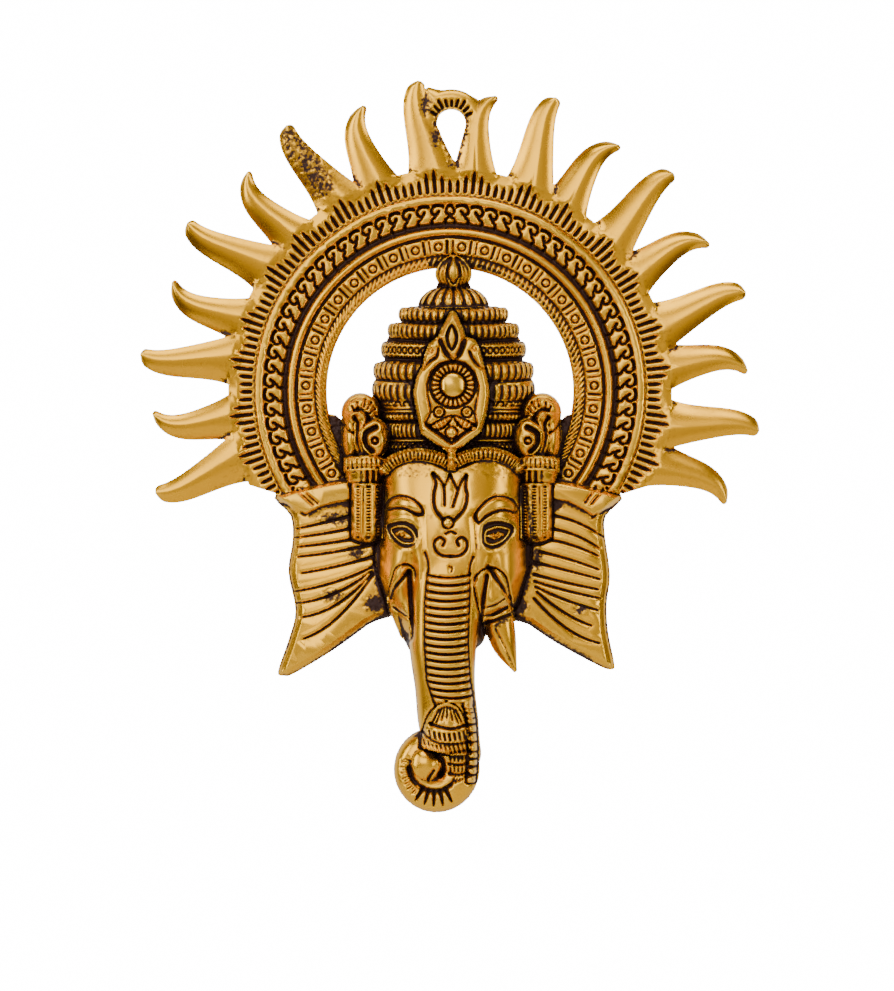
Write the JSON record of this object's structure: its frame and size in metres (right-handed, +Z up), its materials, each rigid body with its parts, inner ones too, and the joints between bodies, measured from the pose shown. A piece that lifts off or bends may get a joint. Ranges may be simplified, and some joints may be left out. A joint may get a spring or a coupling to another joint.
{
  "type": "ganesha wall hanging",
  "caption": "Cast metal wall plaque: a crowned elephant head inside a carved halo with flame-shaped rays, a hanging loop at the top and a flat back.",
  "frame": {"origin": "where the nail bears: the top of the hole under the hanging loop, on the plane of the wall", "axes": "+Z up, -Y out from the wall towards the viewer, +X to the viewer's right"},
  "size_m": [0.1943, 0.0257, 0.2295],
  "materials": {
    "antique_gold": "polished antique gold plating with dark brown patina left in the recesses"
  },
  "bodies": {
    "root": {"ganesha_casting": "antique_gold"}
  },
  "joints": []
}
